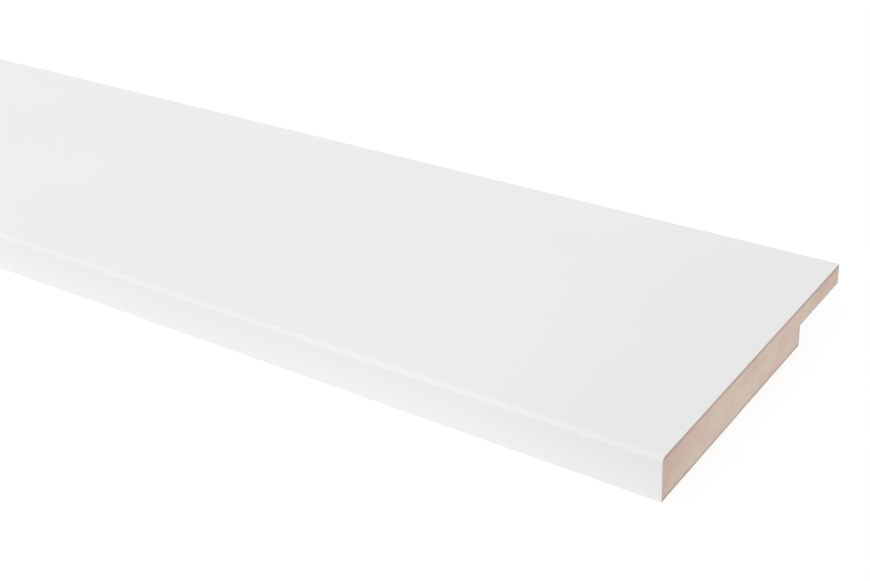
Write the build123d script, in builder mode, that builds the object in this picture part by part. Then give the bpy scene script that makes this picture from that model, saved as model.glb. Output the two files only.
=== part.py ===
from build123d import *
import os

# A window sill board: one length of medium-density fibreboard, machined to one section all along.
# X runs along the board, -Y is the rounded front edge on the room side, +Y is the tongue on the
# window side, and Z = 0 is the underside, midway along and midway between front and back.

# Driving dimensions, in millimetres
board_length = 2440.0  # a stock length, as sold
board_width = 210.0  # from the front edge to the back of the tongue
board_thickness = 25.0
tongue_width = 52.0  # how far the thin part at the back reaches past the shoulder
rebate_depth = 12.5  # what the rebate takes off the underside at the back
nose_radius = 3.0  # round along the top of the front edge
tongue_arris = 0.8  # eased edges along the back of the tongue
under_arris = 0.5  # eased edges along the underside

with BuildPart() as sill_board:
    with BuildSketch(Plane.YZ) as section:
        # the full board, seen from the end, with its front edge to the left
        with Locations((-board_width / 2, 0)):
            Rectangle(board_width, board_thickness, align=(Align.MIN, Align.MIN))
        # the rebate under the back leaves the tongue at the top
        with Locations((board_width / 2, 0)):
            Rectangle(tongue_width, rebate_depth, align=(Align.MAX, Align.MIN), mode=Mode.SUBTRACT)
        fillet(section.vertices().group_by(Axis.Y)[-1].sort_by(Axis.X)[0], nose_radius)
        fillet(section.vertices().group_by(Axis.Y)[0], under_arris)
        fillet(section.vertices().group_by(Axis.X)[-1], tongue_arris)
    # the ends are sawn square
    extrude(amount=board_length / 2, both=True)
sill_board.part.label = "sill_board"

os.makedirs("parts", exist_ok=True)
export_step(sill_board.part, "parts/sill_board.step")
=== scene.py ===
import math
import random

import bmesh
import bpy
from mathutils import Matrix, Vector, noise
from mathutils.geometry import delaunay_2d_cdt


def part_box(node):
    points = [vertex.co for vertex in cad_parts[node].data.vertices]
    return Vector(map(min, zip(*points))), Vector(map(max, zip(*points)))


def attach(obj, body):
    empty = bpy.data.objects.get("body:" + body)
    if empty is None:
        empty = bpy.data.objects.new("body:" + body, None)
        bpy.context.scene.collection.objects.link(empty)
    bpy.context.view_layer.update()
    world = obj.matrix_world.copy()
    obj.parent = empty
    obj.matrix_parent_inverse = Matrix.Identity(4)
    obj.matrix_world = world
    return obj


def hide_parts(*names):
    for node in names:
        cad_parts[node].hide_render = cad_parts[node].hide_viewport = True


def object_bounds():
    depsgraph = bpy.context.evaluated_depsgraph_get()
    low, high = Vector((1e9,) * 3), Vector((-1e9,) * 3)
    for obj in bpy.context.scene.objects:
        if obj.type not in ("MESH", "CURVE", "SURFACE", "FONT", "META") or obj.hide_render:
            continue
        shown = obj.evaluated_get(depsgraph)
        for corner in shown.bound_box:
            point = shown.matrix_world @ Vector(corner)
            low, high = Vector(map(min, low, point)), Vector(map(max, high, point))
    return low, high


mm = 0.001
white = (1.0, 1.0, 1.0, 1.0)

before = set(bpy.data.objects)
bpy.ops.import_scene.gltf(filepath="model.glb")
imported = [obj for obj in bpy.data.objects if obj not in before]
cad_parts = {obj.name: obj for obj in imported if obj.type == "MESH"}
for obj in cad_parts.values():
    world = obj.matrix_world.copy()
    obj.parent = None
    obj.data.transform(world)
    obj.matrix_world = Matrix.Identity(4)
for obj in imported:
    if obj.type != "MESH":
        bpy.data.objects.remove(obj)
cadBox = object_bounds()
print("frame loaded", list(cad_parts), [round(side / mm, 1) for side in cadBox[1] - cadBox[0]], "mm")


# Node trees

def addNode(tree, kind, **settings):
    node = tree.nodes.new(kind)
    for name, value in settings.items():
        setattr(node, name, value)
    return node


def feed(tree, socket, value):
    # takes another node's socket, or a plain value
    if isinstance(value, bpy.types.NodeSocket):
        tree.links.new(value, socket)
    else:
        socket.default_value = value


def math2(tree, operation, first, second, clamp=False):
    node = addNode(tree, "ShaderNodeMath", operation=operation, use_clamp=clamp)
    feed(tree, node.inputs[0], first)
    feed(tree, node.inputs[1], second)
    return node.outputs[0]


def times(tree, first, second):
    return math2(tree, "MULTIPLY", first, second)


def plus(tree, first, second, clamp=False):
    return math2(tree, "ADD", first, second, clamp)


def remap(tree, value, fromLow, fromHigh, toLow=0.0, toHigh=1.0):
    node = addNode(tree, "ShaderNodeMapRange", interpolation_type="SMOOTHSTEP")
    for socket, number in zip(node.inputs, (value, fromLow, fromHigh, toLow, toHigh)):
        feed(tree, socket, number)
    return node.outputs["Result"]


def stretch(tree, vector, amounts):
    node = addNode(tree, "ShaderNodeVectorMath", operation="MULTIPLY")
    feed(tree, node.inputs[0], vector)
    feed(tree, node.inputs[1], amounts)
    return node.outputs[0]


def noiseField(tree, vector, scale, detail, roughness):
    node = addNode(tree, "ShaderNodeTexNoise")
    feed(tree, node.inputs["Vector"], vector)
    feed(tree, node.inputs["Scale"], scale)
    feed(tree, node.inputs["Detail"], detail)
    feed(tree, node.inputs["Roughness"], roughness)
    return node.outputs["Fac"]


def mixColour(tree, share, first, second):
    node = addNode(tree, "ShaderNodeMix", data_type="RGBA")
    feed(tree, node.inputs["Factor"], share)
    feed(tree, node.inputs[6], first)  # 6, 7 and the output 2 are the node's colour sockets
    feed(tree, node.inputs[7], second)
    return node.outputs[2]


def mixShader(tree, share, first, second):
    node = addNode(tree, "ShaderNodeMixShader")
    feed(tree, node.inputs[0], share)
    feed(tree, node.inputs[1], first)
    feed(tree, node.inputs[2], second)
    return node.outputs[0]


def surfacePlace(tree):
    return addNode(tree, "ShaderNodeNewGeometry").outputs["Position"]


def surfaceMask(tree, name):
    return addNode(tree, "ShaderNodeAttribute", attribute_name=name).outputs["Fac"]


def bumpFrom(tree, height):
    bump = addNode(tree, "ShaderNodeBump")
    bump.inputs["Strength"].default_value = 1.0
    bump.inputs["Distance"].default_value = 1.0  # the heights are already in metres
    feed(tree, bump.inputs["Height"], height)
    return bump.outputs["Normal"]


def plainlySeen(tree):
    # 1 for what the camera sees, directly, in gloss or through glass
    path = addNode(tree, "ShaderNodeLightPath")
    seen = plus(tree, path.outputs["Is Camera Ray"], path.outputs["Is Glossy Ray"])
    return plus(tree, seen, path.outputs["Is Transmission Ray"], clamp=True)


def newMaterial(name):
    material = bpy.data.materials.new(name)
    material.use_nodes = True
    return material, material.node_tree


def newGroup(name, inputs, outputs):
    tree = bpy.data.node_groups.new(name, "ShaderNodeTree")
    for label, kind in inputs.items():
        tree.interface.new_socket(name=label, in_out="INPUT", socket_type=kind)
    for label in outputs:
        tree.interface.new_socket(name=label, in_out="OUTPUT", socket_type="NodeSocketFloat")
    return tree, addNode(tree, "NodeGroupInput"), addNode(tree, "NodeGroupOutput")


def placeGroup(tree, group, **values):
    node = addNode(tree, "ShaderNodeGroup", node_tree=group)
    for label, value in values.items():
        feed(tree, node.inputs[label], value)
    return node.outputs


def addObject(name, data):
    thing = bpy.data.objects.new(name, data)
    bpy.context.scene.collection.objects.link(thing)
    return thing


# Effects that both finishes share

drifting = {
    "detail": 2.0,
    "roughness": 0.45,
    "toneRange": (0.3, 0.7),  # of the noise, from one tone to the other
}


def buildSlowDrift():
    # broad, faint change of tone, and the same wave as a height
    inputs = {"Place": "NodeSocketVector", "Size": "NodeSocketFloat"}
    tree, given, made = newGroup("slowDrift", inputs, ["Tone", "Height"])
    perMetre = math2(tree, "DIVIDE", 1.0, given.outputs["Size"])
    broad = noiseField(tree, given.outputs["Place"], perMetre, drifting["detail"], drifting["roughness"])
    feed(tree, made.inputs["Tone"], remap(tree, broad, *drifting["toneRange"]))
    feed(tree, made.inputs["Height"], broad)
    return tree


felting = {
    "longDetail": 3.0,
    "longRoughness": 0.65,
    "longShare": 0.6,  # of the height
    "shortDetail": 2.0,
    "shortRoughness": 0.6,
    "shortShare": 0.4,
    "shorter": 2.7,  # how many times finer the short fibres are
    "lightRange": (0.5, 0.68),  # long fibres stand out light over this stretch of the noise
    "darkRange": (0.45, 0.27),  # and the gaps between short ones dark over this
}


def buildFibreMat():
    # fibres felted flat, parallel to the board's faces, so they are thin up and down and long sideways
    inputs = {"Place": "NodeSocketVector", "Fibre": "NodeSocketFloat", "Flatness": "NodeSocketFloat"}
    tree, given, made = newGroup("fibreMat", inputs, ["Light", "Dark", "Height"])
    scale = math2(tree, "DIVIDE", 1.0, given.outputs["Fibre"])
    axes = addNode(tree, "ShaderNodeCombineXYZ")
    for socket, amount in zip(axes.inputs, (1.0, 1.0, given.outputs["Flatness"])):
        feed(tree, socket, amount)
    flat = stretch(tree, given.outputs["Place"], axes.outputs[0])
    long = noiseField(tree, flat, scale, felting["longDetail"], felting["longRoughness"])
    finer = times(tree, scale, felting["shorter"])
    short = noiseField(tree, flat, finer, felting["shortDetail"], felting["shortRoughness"])
    feed(tree, made.inputs["Light"], remap(tree, long, *felting["lightRange"]))
    feed(tree, made.inputs["Dark"], remap(tree, short, *felting["darkRange"]))
    longHeight = times(tree, long, felting["longShare"])
    shortHeight = times(tree, short, felting["shortShare"])
    feed(tree, made.inputs["Height"], plus(tree, longHeight, shortHeight))
    return tree


rubbing = {
    "detail": 4.0,
    "roughness": 0.6,
    "middle": 0.5,  # the noise varies about this
    "wornRange": (0.72, 1.15),
}


def buildRubbedEdge():
    # where hands and sanding reach an edge, broken up so that it comes and goes
    inputs = {"Place": "NodeSocketVector", "Edge": "NodeSocketFloat", "Patch": "NodeSocketFloat"}
    tree, given, made = newGroup("rubbedEdge", inputs, ["Mask"])
    perMetre = math2(tree, "DIVIDE", 1.0, given.outputs["Patch"])
    patches = noiseField(tree, given.outputs["Place"], perMetre, rubbing["detail"], rubbing["roughness"])
    reach = plus(tree, given.outputs["Edge"], math2(tree, "SUBTRACT", patches, rubbing["middle"]))
    feed(tree, made.inputs["Mask"], remap(tree, reach, *rubbing["wornRange"]))
    return tree


slowDrift = buildSlowDrift()
fibreMat = buildFibreMat()
rubbedEdge = buildRubbedEdge()
print("shared effects built")


# Finishes

paint = {
    "colour": (0.844, 0.841, 0.841, 1.0),
    "shade": (0.808, 0.806, 0.808, 1.0),  # where the coat is a touch thinner
    "driftShade": 0.45,  # how much the slow drift thins the coat
    "fibreShade": 0.22,  # and how much the gaps between fibres do
    "rubbed": (0.868, 0.860, 0.850, 1.0),
    "rubbedShare": 0.6,
    "rubbedPatch": 12.0 * mm,
    "roughness": (0.34, 0.44),
    "roughnessRange": (0.35, 1.0),  # of the fibres' height, from the smooth coat to the dull one
    "napDulls": 0.35,
    "edgeRoughness": 0.28,  # the rounds are sanded finer and shine more
    "edgeRange": (0.0, 0.7),  # of the wear, from the flats to the rounds
    "driftSize": 0.14,
    "peelSize": 1.6 * mm,
    "peelDepth": 0.006 * mm,
    "peelDetail": 2.0,
    "peelRoughness": 0.4,
    "waveSize": 0.045,
    "waveDepth": 0.03 * mm,
    "fibre": 1.4 * mm,
    "fibreFlatness": 2.0,
    "napDepth": 0.012 * mm,  # raised fibre under the coat on machined edges
}


def makePaint(name):
    material, tree = newMaterial(name)
    shader = tree.nodes["Principled BSDF"]
    place = surfacePlace(tree)
    edge = surfaceMask(tree, "edgeRub")
    nap = surfaceMask(tree, "machinedNap")

    drift = placeGroup(tree, slowDrift, Place=place, Size=paint["driftSize"])
    fibres = placeGroup(
        tree, fibreMat, Place=place, Fibre=paint["fibre"], Flatness=paint["fibreFlatness"]
    )
    rub = placeGroup(tree, rubbedEdge, Place=place, Edge=edge, Patch=paint["rubbedPatch"])["Mask"]

    thin = times(tree, drift["Tone"], paint["driftShade"])
    thin = plus(tree, thin, times(tree, fibres["Dark"], paint["fibreShade"]), clamp=True)
    coat = mixColour(tree, thin, paint["colour"], paint["shade"])
    coat = mixColour(tree, times(tree, rub, paint["rubbedShare"]), coat, paint["rubbed"])
    feed(tree, shader.inputs["Base Color"], coat)

    grain = plus(tree, fibres["Height"], times(tree, nap, paint["napDulls"]))
    onFlats = remap(tree, grain, *paint["roughnessRange"], *paint["roughness"])
    roughness = remap(tree, edge, *paint["edgeRange"], onFlats, paint["edgeRoughness"])
    feed(tree, shader.inputs["Roughness"], roughness)

    peel = noiseField(tree, place, 1.0 / paint["peelSize"], paint["peelDetail"], paint["peelRoughness"])
    wave = placeGroup(tree, slowDrift, Place=place, Size=paint["waveSize"])["Height"]
    height = times(tree, peel, paint["peelDepth"])
    height = plus(tree, height, times(tree, wave, paint["waveDepth"]))
    raised = times(tree, times(tree, fibres["Height"], nap), paint["napDepth"])
    feed(tree, shader.inputs["Normal"], bumpFrom(tree, plus(tree, height, raised)))
    return material


fibreboard = {
    "pale": (0.699, 0.578, 0.473, 1.0),
    "pink": (0.668, 0.494, 0.421, 1.0),
    "light": (0.810, 0.700, 0.600, 1.0),  # single pale fibres
    "lightShare": 0.55,
    "dark": (0.450, 0.345, 0.280, 1.0),
    "darkShare": 0.5,
    "skin": (0.290, 0.215, 0.195, 1.0),  # the dense layer just under each face
    "skinReach": 3.5 * mm,
    "skinShare": 0.6,
    "rubbedShare": 0.15,
    "rubbedPatch": 4.0 * mm,
    "soaked": (0.555, 0.505, 0.455, 1.0),  # where the coat has drawn in at a machined edge
    "soakedReach": 6.0 * mm,
    "soakedShare": 0.75,
    "edgeDarkening": (0.500, 0.375, 0.285, 1.0),  # darker towards the front and back edges
    "edgeDarkeningShare": 0.3,
    "driftSize": 9.0 * mm,
    "driftAxes": (1.0, 0.5, 1.0),  # the blotches lie flat, like the fibres
    "fibre": 1.1 * mm,
    "fibreFlatness": 3.2,
    "fuzzDepth": 0.05 * mm,
    "roughness": (0.95, 0.78),
    "roughnessRange": (0.2, 0.8),  # of the fibres' height
    "specular": 0.25,
    "sawPitch": 2.4 * mm,
    "sawSlant": 0.12,
    "sawDepth": 0.02 * mm,
    "sawDetail": 3.0,
    "sawRoughness": 0.6,
}


def makeFibreboard(name):
    material, tree = newMaterial(name)
    shader = tree.nodes["Principled BSDF"]
    place = surfacePlace(tree)
    depth = surfaceMask(tree, "underFace")
    beside = surfaceMask(tree, "besideCut")
    nearFrontOrBack = surfaceMask(tree, "nearFrontOrBack")
    edge = surfaceMask(tree, "edgeRub")

    mottling = stretch(tree, place, fibreboard["driftAxes"])
    drift = placeGroup(tree, slowDrift, Place=mottling, Size=fibreboard["driftSize"])
    fibres = placeGroup(
        tree, fibreMat, Place=place, Fibre=fibreboard["fibre"], Flatness=fibreboard["fibreFlatness"]
    )
    rub = placeGroup(tree, rubbedEdge, Place=place, Edge=edge, Patch=fibreboard["rubbedPatch"])["Mask"]

    colour = mixColour(tree, drift["Tone"], fibreboard["pale"], fibreboard["pink"])
    light = times(tree, fibres["Light"], fibreboard["lightShare"])
    colour = mixColour(tree, light, colour, fibreboard["light"])
    dark = times(tree, fibres["Dark"], fibreboard["darkShare"])
    colour = mixColour(tree, dark, colour, fibreboard["dark"])
    # the sawn end is darker towards its front and back edges
    edgeDarkening = remap(tree, nearFrontOrBack, 0.0, 1.0, 0.0, fibreboard["edgeDarkeningShare"])
    colour = mixColour(tree, edgeDarkening, colour, fibreboard["edgeDarkening"])
    # both of these depths are in millimetres
    soaked = remap(tree, beside, fibreboard["soakedReach"] / mm, 0.0, 0.0, fibreboard["soakedShare"])
    colour = mixColour(tree, soaked, colour, fibreboard["soaked"])
    skin = remap(tree, depth, fibreboard["skinReach"] / mm, 0.0, 0.0, fibreboard["skinShare"])
    skin = plus(tree, skin, times(tree, rub, fibreboard["rubbedShare"]), clamp=True)
    feed(tree, shader.inputs["Base Color"], mixColour(tree, skin, colour, fibreboard["skin"]))

    roughness = remap(tree, fibres["Height"], *fibreboard["roughnessRange"], *fibreboard["roughness"])
    feed(tree, shader.inputs["Roughness"], roughness)
    shader.inputs["Specular IOR Level"].default_value = fibreboard["specular"]

    sawAxes = (0.0, 1.0 / fibreboard["sawPitch"], fibreboard["sawSlant"] / fibreboard["sawPitch"])
    marks = stretch(tree, place, sawAxes)
    saw = noiseField(tree, marks, 1.0, fibreboard["sawDetail"], fibreboard["sawRoughness"])
    height = times(tree, fibres["Height"], fibreboard["fuzzDepth"])
    height = plus(tree, height, times(tree, saw, fibreboard["sawDepth"]))
    feed(tree, shader.inputs["Normal"], bumpFrom(tree, height))
    return material


whitePaint = makePaint("whitePaint")
bareFibreboard = makeFibreboard("bareFibreboard")
print("finishes made")


# The board: one section all along, painted on its machined faces and bare where it is sawn

board = {
    "tongueWidth": 52.0 * mm,
    "rebateDepth": 12.5 * mm,
    "noseRadius": 3.0 * mm,
    "tongueArris": 0.8 * mm,
    "underArris": 0.5 * mm,
    "noseSteps": 14,
    "arrisSteps": 4,
    "faceStep": 12.0 * mm,  # longest stretch across a flat face
    "ringStep": 20.0 * mm,  # along the board
    "sharpFrom": 32.0,  # degrees; a corner that turns more is shaded sharp
    "rubReach": 3.5 * mm,  # how far from an edge hands and sanding wear it
    "pressedSkin": 0.2 * mm,  # a point this near the top or underside lies on it
    "undersideSanding": 1.4,  # the underside is sanded more, so its dense layer is thinner
    "sealing": 2.5,  # a well sealed edge draws in less of the coat
    "darkenFront": 42.0 * mm,
    "darkenBack": 75.0 * mm,
    "darkenBackShare": 0.7,
    "waver": 0.05 * mm,  # how far sanding leaves the rounds uneven
    "waverVaries": (0.5, 0.5),  # the usual share of that, and how much it swings
    "waverLength": 0.16,
    "waverSeed": 7.3,
    "paintedSlot": 0,
    "bareSlot": 1,
}

sawnEnd = {
    "seeds": {1: 11, -1: 23},  # the right end and the left
    "rimStep": 0.5 * mm,
    "rimReach": 1.2 * mm,  # how far from the cut the long faces stop
    # the rings from there to the cut: depth, how far the coat's cut edge rolls in, share of a chip's depth
    "rings": (
        (0.55 * mm, 0.0, 0.15),
        (0.28 * mm, 0.01 * mm, 0.45),
        (0.12 * mm, 0.03 * mm, 0.8),
        (0.0, 0.08 * mm, 1.0),
    ),
    "rollVaries": (0.7, 0.6),
    "rollLength": 1.7 * mm,
    "coatOnFaces": 0.16 * mm,  # the coat as it shows, cut through, round the bare end
    "coatOnEdges": 0.32 * mm,  # edges drink more, and are coated thicker
    "coatVaries": (0.8, 0.5),
    "coatLength": 2.3 * mm,
    "coatSeed": 9.0,
    "chipCount": 46,
    "chipLength": (0.5 * mm, 1.8 * mm),
    "chipDepth": (0.06 * mm, 0.32 * mm),
    "chipShowShare": 0.35,  # chips are smaller on the top and the front, which show
    "topReach": 2.0 * mm,  # a point of the rim this near the top belongs to it
    "bareChip": 0.12 * mm,  # a chip deeper than this shows fibreboard
    "gridAcross": 0.8 * mm,
    "gridUp": 2.2 * mm,
    "gridMargin": 0.7 * mm,
    "gridShift": (0.1 * mm, 0.2 * mm),  # how far a point of the grid may stray, across and up
    "weldWithin": 1e-9,
    "sawDepth": 0.05 * mm,
    "sawLength": 30.0 * mm,  # how far up the end one mark of the blade runs
    "sawVaries": (0.5, 0.4),
    "fineShare": 0.25,
    "fineSize": (0.9 * mm, 2.5 * mm),
    "fineSeed": 4.0,
}


def varied(varies, *spot):
    # a share that wanders about its usual value from spot to spot
    usual, swing = varies
    return usual + swing * noise.noise(Vector(spot))


def rebateCorner(low, high):
    return high.y - board["tongueWidth"], low.z + board["rebateDepth"]


def boardCorners(low, high):
    # anticlockwise as seen from +X: y, z, the radius of the round and its steps
    shoulder, ledge = rebateCorner(low, high)
    under = (board["underArris"], board["arrisSteps"])
    tongue = (board["tongueArris"], board["arrisSteps"])
    return [
        (low.y, low.z, *under),
        (shoulder, low.z, *under),
        (shoulder, ledge, 0.0, 0),
        (high.y, ledge, *tongue),
        (high.y, high.z, *tongue),
        (low.y, high.z, board["noseRadius"], board["noseSteps"]),
    ]


def outwardFrom(along):
    # square to a stretch of the outline, away from the board
    return Vector((along.y, -along.x))


def roundedCorner(corner, along, onward, radius, steps):
    # each point carries its outward direction and its bend, 0 on the flats and 1 halfway round an edge
    outward = outwardFrom(along)
    if radius == 0.0:
        return [(corner, (outward + outwardFrom(onward)).normalized(), 0.0)]
    centre = corner - along * radius + onward * radius
    arc = []
    for step in range(steps + 1):
        angle = math.pi / 2 * step / steps
        away = outward * math.cos(angle) + along * math.sin(angle)
        arc.append((centre + away * radius, away, math.sin(2.0 * angle)))
    return arc


def flatStretch(start, end, startStrip, endStrip):
    # points between two rounds, with a narrow strip beside each of them
    length = (end - start).length
    along = (end - start) / length
    between = length - startStrip - endStrip
    count = math.ceil(between / board["faceStep"])
    first = 0 if startStrip else 1
    last = count if endStrip else count - 1
    places = [startStrip + between * step / count for step in range(first, last + 1)]
    return [(start + along * at, outwardFrom(along), 0.0) for at in places]


def roundedOutline(corners):
    rounds, strips = [], []
    for i, (y, z, radius, steps) in enumerate(corners):
        corner = Vector((y, z))
        before, after = (Vector(corners[j % len(corners)][:2]) for j in (i - 1, i + 1))
        along, onward = (corner - before).normalized(), (after - corner).normalized()
        rounds.append(roundedCorner(corner, along, onward, radius, steps))
        strips.append(board["rubReach"] - radius if radius else 0.0)
    outline = []
    for i, arc in enumerate(rounds):
        j = (i + 1) % len(rounds)
        outline += arc + flatStretch(arc[-1][0], rounds[j][0][0], strips[i], strips[j])
    return outline


def divided(outline, longest):
    # the same outline with more points, grouped by the stretch they came from
    groups = []
    for i, (point, away, bend) in enumerate(outline):
        nextPoint, nextAway, nextBend = outline[(i + 1) % len(outline)]
        count = max(1, math.ceil((nextPoint - point).length / longest))
        group = []
        for step in range(count):
            share = step / count
            between = bend + (nextBend - bend) * share
            group.append((point.lerp(nextPoint, share), away.lerp(nextAway, share).normalized(), between))
        groups.append(group)
    return groups


def waverAt(x, bend):
    # what sanding has taken off the rounds beyond their true shape
    share = varied(board["waverVaries"], x / board["waverLength"], board["waverSeed"], 0.0)
    return bend * board["waver"] * share


def makeChips(rng, perimeter, showFrom, showTo):
    chips = []
    for _ in range(sawnEnd["chipCount"]):
        at = rng.uniform(0.0, perimeter)
        depth = rng.uniform(*sawnEnd["chipDepth"])
        if showFrom < at < showTo:
            depth *= sawnEnd["chipShowShare"]
        chips.append((at, rng.uniform(*sawnEnd["chipLength"]) / 2, depth))
    return chips


def chipDepthAt(chips, at):
    deepest = 0.0
    for middle, half, depth in chips:
        share = abs(at - middle) / half
        if share < 1.0:
            deepest = max(deepest, depth * (1.0 - share * share))
    return deepest


def sawRelief(y, z, seed):
    # shallow arcs left by the blade, never standing proud of the end
    across = y / fibreboard["sawPitch"] + fibreboard["sawSlant"] * z / fibreboard["sawPitch"]
    wave = varied(sawnEnd["sawVaries"], across, z / sawnEnd["sawLength"], seed)
    fineAcross, fineUp = sawnEnd["fineSize"]
    fine = varied((0.0, sawnEnd["fineShare"]), y / fineAcross, z / fineUp, seed + sawnEnd["fineSeed"])
    return sawnEnd["sawDepth"] * max(0.0, wave + fine)


def insideSection(y, z, low, high, margin):
    shoulder, ledge = rebateCorner(low, high)
    floorHere = low.z if y < shoulder + margin else ledge
    if z < floorHere + margin or z > high.z - margin:
        return False
    if y < low.y + margin or y > high.y - margin:
        return False
    nose = board["noseRadius"]
    centre = Vector((low.y + nose, high.z - nose))
    if y < centre.x and z > centre.y:
        return (Vector((y, z)) - centre).length < nose - margin
    return True


def planEnd(side, low, high, outline):
    # all that the parts of one end share; side is +1 at the right end and -1 at the left
    seed = sawnEnd["seeds"][side]
    rng = random.Random(seed)
    groups = divided(outline, sawnEnd["rimStep"])
    rim = [entry for group in groups for entry in group]
    runs, perimeter = [], 0.0
    for i, (point, _, _) in enumerate(rim):
        runs.append(perimeter)
        perimeter += (rim[(i + 1) % len(rim)][0] - point).length
    tops = [at for at, (point, _, _) in zip(runs, rim) if point.y > high.z - sawnEnd["topReach"]]
    chips = makeChips(rng, perimeter, min(tops), max(tops) + high.z - low.z)
    return {
        "side": side,
        "x": high.x if side > 0 else low.x,
        "seed": seed,
        "rng": rng,
        "groups": groups,
        "rim": rim,
        "runs": runs,
        "chipDepths": [chipDepthAt(chips, at) for at in runs],
    }


def addFace(bm, end, loop, slot):
    # the left end is built as the right one's mirror image, so its faces turn the other way
    bm.faces.new(loop if end["side"] > 0 else loop[::-1]).material_index = slot


def addBand(bm, end, outer, inner):
    # a band of faces between two rings, bare where a chip is deep
    for i in range(len(outer)):
        j = (i + 1) % len(outer)
        bare = min(end["chipDepths"][i], end["chipDepths"][j]) > sawnEnd["bareChip"]
        slot = board["bareSlot"] if bare else board["paintedSlot"]
        addFace(bm, end, [outer[i], outer[j], inner[j], inner[i]], slot)


def addRimRings(bm, end):
    rings = []
    for depth, roll, chipShare in sawnEnd["rings"]:
        ring = []
        for (point, away, bend), chip, at in zip(end["rim"], end["chipDepths"], end["runs"]):
            rolled = roll * varied(sawnEnd["rollVaries"], at / sawnEnd["rollLength"], end["seed"], depth / mm)
            place = point - away * (waverAt(end["x"], bend) + rolled + chip * chipShare)
            ring.append(bm.verts.new((end["x"] - end["side"] * depth, place.x, place.y)))
        rings.append(ring)
    return rings


def joinLongFaces(bm, end, longRing, rimRing):
    # the ring of the long faces meets the finer ring stretch by stretch
    start = 0
    for i, group in enumerate(end["groups"]):
        finish = start + len(group)
        stretchRun = [rimRing[k % len(rimRing)] for k in range(start, finish + 1)]
        corners = [longRing[i], longRing[(i + 1) % len(longRing)]]
        addFace(bm, end, corners + stretchRun[::-1], board["paintedSlot"])
        start = finish


def addCoatRing(bm, end, cutRing):
    # the cut coat, a thin pale band round the bare board
    ring = []
    for vert, (_, away, _), at in zip(cutRing, end["rim"], end["runs"]):
        upright = abs(away.x)
        width = sawnEnd["coatOnFaces"] * (1.0 - upright) + sawnEnd["coatOnEdges"] * upright
        place = (at / sawnEnd["coatLength"], end["seed"] + sawnEnd["coatSeed"], 0.0)
        width *= varied(sawnEnd["coatVaries"], *place)
        ring.append(bm.verts.new((end["x"], vert.co.y - away.x * width, vert.co.z - away.y * width)))
    return ring


def gridSpots(end, low, high):
    # points all over the sawn face, to carry the blade's marks
    strayAcross, strayUp = sawnEnd["gridShift"]
    margin = sawnEnd["gridMargin"]
    spots = []
    y = low.y + margin
    while y < high.y:
        z = low.z + margin
        while z < high.z:
            spotY = y + end["rng"].uniform(-strayAcross, strayAcross)
            spotZ = z + end["rng"].uniform(-strayUp, strayUp)
            if insideSection(spotY, spotZ, low, high, margin):
                spots.append(Vector((spotY, spotZ)))
            z += sawnEnd["gridUp"]
        y += sawnEnd["gridAcross"]
    return spots


def addSawnFace(bm, end, coatRing, low, high):
    flat = [Vector((vert.co.y, vert.co.z)) for vert in coatRing] + gridSpots(end, low, high)
    border = list(range(len(coatRing)))
    insideOnly = 1
    spots, _, faces, origins, *_ = delaunay_2d_cdt(flat, [], [border], insideOnly, sawnEnd["weldWithin"])
    verts = []
    for spot, origin in zip(spots, origins):
        if origin and origin[0] < len(coatRing):
            verts.append(coatRing[origin[0]])
        else:
            depth = sawRelief(spot.x, spot.y, end["seed"])
            verts.append(bm.verts.new((end["x"] - end["side"] * depth, spot.x, spot.y)))
    for face in faces:
        addFace(bm, end, [verts[k] for k in face], board["bareSlot"])
    print("sawn end", "right" if end["side"] > 0 else "left", "faces", len(faces))


def buildEnd(bm, side, low, high, outline, longRing):
    end = planEnd(side, low, high, outline)
    rings = addRimRings(bm, end)
    joinLongFaces(bm, end, longRing, rings[0])
    for outer, inner in zip(rings, rings[1:]):
        addBand(bm, end, outer, inner)
    coatRing = addCoatRing(bm, end, rings[-1])
    addBand(bm, end, rings[-1], coatRing)
    addSawnFace(bm, end, coatRing, low, high)


def buildLongFaces(bm, low, high, outline):
    # rings along the board, joined up; the first and last meet the sawn ends
    firstX, lastX = low.x + sawnEnd["rimReach"], high.x - sawnEnd["rimReach"]
    lengths = surfaceMap["lengths"]  # a ring lies on each border between them
    ringCount = lengths * math.ceil((lastX - firstX) / board["ringStep"] / lengths)
    rings = []
    for k in range(ringCount + 1):
        x = firstX + (lastX - firstX) * k / ringCount
        # the last ring at each end wavers as the sawn end beside it does
        waverX = {0: low.x, ringCount: high.x}.get(k, x)
        places = [point - away * waverAt(waverX, bend) for point, away, bend in outline]
        rings.append([bm.verts.new((x, place.x, place.y)) for place in places])
    for first, second in zip(rings, rings[1:]):
        for i in range(len(outline)):
            j = (i + 1) % len(outline)
            bm.faces.new([first[i], first[j], second[j], second[i]]).material_index = board["paintedSlot"]
    print("long faces", len(bm.faces), "with", len(outline), "points round the section")
    return rings


def shadeSmooth(bm):
    # smooth all over, but for the corners that are really sharp
    for face in bm.faces:
        face.smooth = True
    bm.normal_update()
    for edge in bm.edges:
        if len(edge.link_faces) == 2 and edge.calc_face_angle(0.0) > math.radians(board["sharpFrom"]):
            edge.smooth = False


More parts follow.
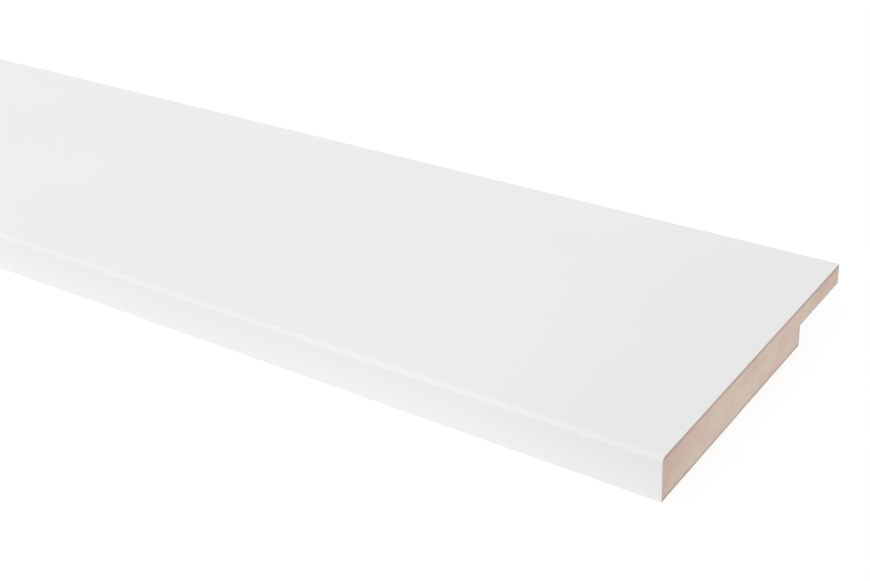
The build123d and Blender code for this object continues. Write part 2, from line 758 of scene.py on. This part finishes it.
def masksAt(y, z, low, high):
    # what wear and the coat have done at one place of the section, and how near it lies to the front or back;
    # the two depths are in millimetres
    shoulder, ledge = rebateCorner(low, high)
    edges = [(edgeY, edgeZ) for edgeY, edgeZ, radius, _ in boardCorners(low, high) if radius]
    nearest = min(math.hypot(y - edgeY, z - edgeZ) for edgeY, edgeZ in edges)
    onPressedFace = z > high.z - board["pressedSkin"] or z < low.z + board["pressedSkin"]
    besideFront = board["sealing"] * (y - low.y)
    besideBack = high.y - y
    besideRebate = besideBack
    if y > shoulder:
        besideRebate = board["sealing"] * (z - ledge)
    elif z < ledge:
        besideRebate = shoulder - y
    # how near the front and the back are, for the darker tone of the sawn end there
    darkenFront = 1.0 - (y - low.y) / board["darkenFront"]
    darkenBack = 1.0 - (high.y - y) / board["darkenBack"]
    return {
        "edgeRub": max(0.0, 1.0 - nearest / board["rubReach"]),
        "machinedNap": 0.0 if onPressedFace else 1.0,
        "underFace": min(high.z - z, board["undersideSanding"] * (z - low.z)) / mm,
        "besideCut": max(0.0, min(besideRebate, besideBack, besideFront)) / mm,
        "nearFrontOrBack": max(0.0, darkenFront, board["darkenBackShare"] * darkenBack),
    }


def writeMasks(mesh, low, high):
    masks = [masksAt(vertex.co.y, vertex.co.z, low, high) for vertex in mesh.vertices]
    for name in masks[0]:
        layer = mesh.attributes.new(name, "FLOAT", "POINT")
        layer.data.foreach_set("value", [mask[name] for mask in masks])


surfaceMap = {
    "name": "OFBake",  # the map's name
    "lengths": 2,  # the long sides lie on it in this many lengths, one above another
    "gap": 0.003,  # between neighbours, as a share of the map's side
    # the directions that run across and up the map, for each side as seen from outside
    "sides": {
        "top": ((1, 0, 0), (0, 1, 0)),
        "underside": ((1, 0, 0), (0, -1, 0)),
        "front": ((1, 0, 0), (0, 0, 1)),
        "back": ((-1, 0, 0), (0, 0, 1)),
        "rightEnd": ((0, 1, 0), (0, 0, 1)),
        "leftEnd": ((0, -1, 0), (0, 0, 1)),
    },
}


def mapRows(size):
    # the foot and scale of each side's rows; the sawn ends get all that is left, and so the most detail
    gap, lengths = surfaceMap["gap"], surfaceMap["lengths"]
    scale = (1.0 - 2.0 * gap) * lengths / size.x
    rows, foot = {}, gap
    for side, height in (("top", size.y), ("underside", size.y), ("front", size.z), ("back", size.z)):
        for part in range(lengths):
            rows[side, part] = (foot, scale)
            foot += height * scale + gap
    endScale = min((1.0 - 2.0 * gap) / size.y, ((1.0 - foot) / 2.0 - gap) / size.z)
    for side in ("rightEnd", "leftEnd"):
        for part in range(lengths):
            rows[side, part] = (foot, endScale)
        foot += size.z * endScale + gap
    return rows


def layOutSurface(mesh, low, high):
    # lays the board's sides flat on one square map, without mirroring any
    rows = mapRows(high - low)
    lengths = surfaceMap["lengths"]
    partLength = (high.x - low.x) / lengths
    sides = {name: (Vector(across), Vector(up)) for name, (across, up) in surfaceMap["sides"].items()}
    outward = {name: across.cross(up) for name, (across, up) in sides.items()}
    places = mesh.uv_layers.new(name=surfaceMap["name"]).data
    for face in mesh.polygons:
        side = max(sides, key=lambda name: face.normal.dot(outward[name]))
        part = min(int((face.center.x - low.x) / partLength), lengths - 1)
        foot, scale = rows[side, part]
        near = Vector((low.x + part * partLength, low.y, low.z))
        far = Vector((near.x + partLength, high.y, high.z))
        across, up = sides[side]
        startAcross, startUp = min(across.dot(near), across.dot(far)), min(up.dot(near), up.dot(far))
        for corner in face.loop_indices:
            point = mesh.vertices[mesh.loops[corner].vertex_index].co
            u = surfaceMap["gap"] + (across.dot(point) - startAcross) * scale
            places[corner].uv = (u, foot + (up.dot(point) - startUp) * scale)


def makeBoard():
    low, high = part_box("sill_board")
    outline = roundedOutline(boardCorners(low, high))
    bm = bmesh.new()
    rings = buildLongFaces(bm, low, high, outline)
    buildEnd(bm, 1, low, high, outline, rings[-1])
    buildEnd(bm, -1, low, high, outline, rings[0])
    shadeSmooth(bm)
    mesh = bpy.data.meshes.new("windowSill")
    bm.to_mesh(mesh)
    bm.free()
    for material in (whitePaint, bareFibreboard):  # in the order of paintedSlot and bareSlot
        mesh.materials.append(material)
    writeMasks(mesh, low, high)
    layOutSurface(mesh, low, high)
    piece = addObject("windowSill", mesh)
    evenShading = piece.modifiers.new("evenShading", "WEIGHTED_NORMAL")
    evenShading.keep_sharp = True
    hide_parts("sill_board")
    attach(piece, "root")
    return piece


sill = makeBoard()
print("board made, triangles", sum(len(face.vertices) - 2 for face in sill.data.polygons))


# The floor, pale, keeping the board's shadow

floorLook = {
    "size": 30.0,
    "drop": 0.2 * mm,  # just under the board, so that the two surfaces don't coincide
    "glow": 0.83,
    "colour": (0.20, 0.20, 0.20, 1.0),
}


def makePaleFloor(name):
    # seen by the camera and in gloss, from above only; other light passes through the floor,
    # and the world stands in for what would bounce off it
    material, tree = newMaterial(name)
    tree.nodes.clear()
    lit = addNode(tree, "ShaderNodeBsdfDiffuse")
    lit.inputs["Color"].default_value = floorLook["colour"]
    glow = addNode(tree, "ShaderNodeEmission")
    glow.inputs["Strength"].default_value = floorLook["glow"]
    both = addNode(tree, "ShaderNodeAddShader")
    tree.links.new(lit.outputs[0], both.inputs[0])
    tree.links.new(glow.outputs[0], both.inputs[1])
    clear = addNode(tree, "ShaderNodeBsdfTransparent")
    fromAbove = math2(tree, "SUBTRACT", 1.0, addNode(tree, "ShaderNodeNewGeometry").outputs["Backfacing"])
    shown = times(tree, plainlySeen(tree), fromAbove)
    output = addNode(tree, "ShaderNodeOutputMaterial")
    feed(tree, output.inputs["Surface"], mixShader(tree, shown, clear.outputs[0], both.outputs[0]))
    return material


def makeFloor():
    bm = bmesh.new()
    half = floorLook["size"] / 2
    corners = [(-half, -half), (half, -half), (half, half), (-half, half)]
    bm.faces.new([bm.verts.new((x, y, cadBox[0].z - floorLook["drop"])) for x, y in corners])
    mesh = bpy.data.meshes.new("floor")
    bm.to_mesh(mesh)
    bm.free()
    mesh.materials.append(makePaleFloor("paleFloor"))
    addObject("floor", mesh)


makeFloor()
print("floor laid")


# Light

studio = {
    "skyStrength": 0.778,
    # spots and aims are from the foot of the sawn right end
    "panels": {
        "overheadPanel": {
            "spot": (-0.72, 0.3, 2.0),
            "aim": (-0.52, 0.0, 0.0),
            "size": (2.4, 1.2),
            "watts": 4.7,
        },
        "frontPanel": {
            "spot": (-0.92, -2.0, 1.3),
            "aim": (-0.52, -0.1, 0.0),
            "size": (2.0, 1.0),
            "watts": 11.0,
        },
        "endPanel": {
            "spot": (1.38, 0.3, 0.02),
            "aim": (0.0, 0.0, 0.02),
            "size": (1.0, 0.5),
            "watts": 2.4,
        },
        # a gridded lamp, whose beam fades out towards the sawn end
        "gridPanel": {
            "spot": (-1.26, -0.9, 0.9),
            "aim": (-1.26, 0.0, 0.0),
            "size": (2.4, 0.5),
            "watts": 0.225,
            "spread": 14.0,
        },
    },
    # a strip of lit table beside the front edge, which brightens the foot of that face
    "tableGlow": {
        "width": 24.0 * mm,
        "gap": 0.2 * mm,  # clear of the board
        "sink": 0.1 * mm,  # under the board's foot, and just over the floor
        "watts": 0.037,
    },
    "openSpread": 180.0,
}


def makeWorld():
    # the room lights the board, and the camera and gloss see a white backdrop
    world = bpy.data.worlds.new("softRoom")
    world.use_nodes = True
    tree = world.node_tree
    tree.nodes.clear()
    room = addNode(tree, "ShaderNodeBackground")
    room.inputs["Color"].default_value = white
    room.inputs["Strength"].default_value = studio["skyStrength"]
    backdrop = addNode(tree, "ShaderNodeBackground")
    backdrop.inputs["Color"].default_value = white
    output = addNode(tree, "ShaderNodeOutputWorld")
    both = mixShader(tree, plainlySeen(tree), room.outputs[0], backdrop.outputs[0])
    feed(tree, output.inputs["Surface"], both)
    bpy.context.scene.world = world


def makePanel(name, spot, aim, size, watts, spread=studio["openSpread"]):
    lamp = bpy.data.lights.new(name, "AREA")
    lamp.shape = "RECTANGLE"
    lamp.size, lamp.size_y = size
    lamp.energy = watts
    lamp.spread = math.radians(spread)
    holder = addObject(name, lamp)
    holder.location = spot
    holder.rotation_euler = (aim - spot).to_track_quat("-Z", "Y").to_euler()
    holder.visible_camera = False


def makeTableGlow():
    low, high = cadBox
    strip = studio["tableGlow"]
    y = low.y - strip["gap"] - strip["width"] / 2
    spot = Vector(((low.x + high.x) / 2, y, low.z - strip["sink"]))
    straightUp = Vector((0.0, 0.0, 1.0))
    makePanel("tableGlow", spot, spot + straightUp, (high.x - low.x, strip["width"]), strip["watts"])


def makeLights():
    endFoot = Vector((cadBox[1].x, 0.0, cadBox[0].z))
    for name, panel in studio["panels"].items():
        spot, aim = (endFoot + Vector(panel[key]) for key in ("spot", "aim"))
        rest = {key: value for key, value in panel.items() if key not in ("spot", "aim")}
        makePanel(name, spot, aim, **rest)
    makeTableGlow()


makeWorld()
makeLights()
print("lights placed", len(bpy.data.lights))


# Camera

view = {
    "fromEnd": 247.335 * mm,  # past the sawn right end
    "fromFront": 493.955 * mm,
    "height": 430.489 * mm,
    "turn": 36.803,  # degrees, 0 looks along +Y
    "lookDown": 29.691,
    "roll": -3.733,
    "lens": 61.442,
    "sensor": 36.0,
    "clipStart": 10.0 * mm,
}


def makeCamera():
    turn, down, roll = (math.radians(view[key]) for key in ("turn", "lookDown", "roll"))
    level = Vector((math.cos(turn), math.sin(turn), 0.0))
    back = Vector((math.sin(turn) * math.cos(down), -math.cos(turn) * math.cos(down), math.sin(down)))
    right = level * math.cos(roll) + back.cross(level) * math.sin(roll)
    axes = Matrix((right, back.cross(right), back)).transposed()
    data = bpy.data.cameras.new("viewCamera")
    data.sensor_width = view["sensor"]
    data.sensor_fit = "HORIZONTAL"
    data.lens = view["lens"]
    data.clip_start = view["clipStart"]
    camera = addObject("viewCamera", data)
    low, high = cadBox
    spot = Vector((high.x + view["fromEnd"], low.y - view["fromFront"], low.z + view["height"]))
    camera.matrix_world = Matrix.Translation(spot) @ axes.to_4x4()
    bpy.context.scene.camera = camera


makeCamera()
bpy.context.scene.view_settings.view_transform = "Standard"
print("camera set")
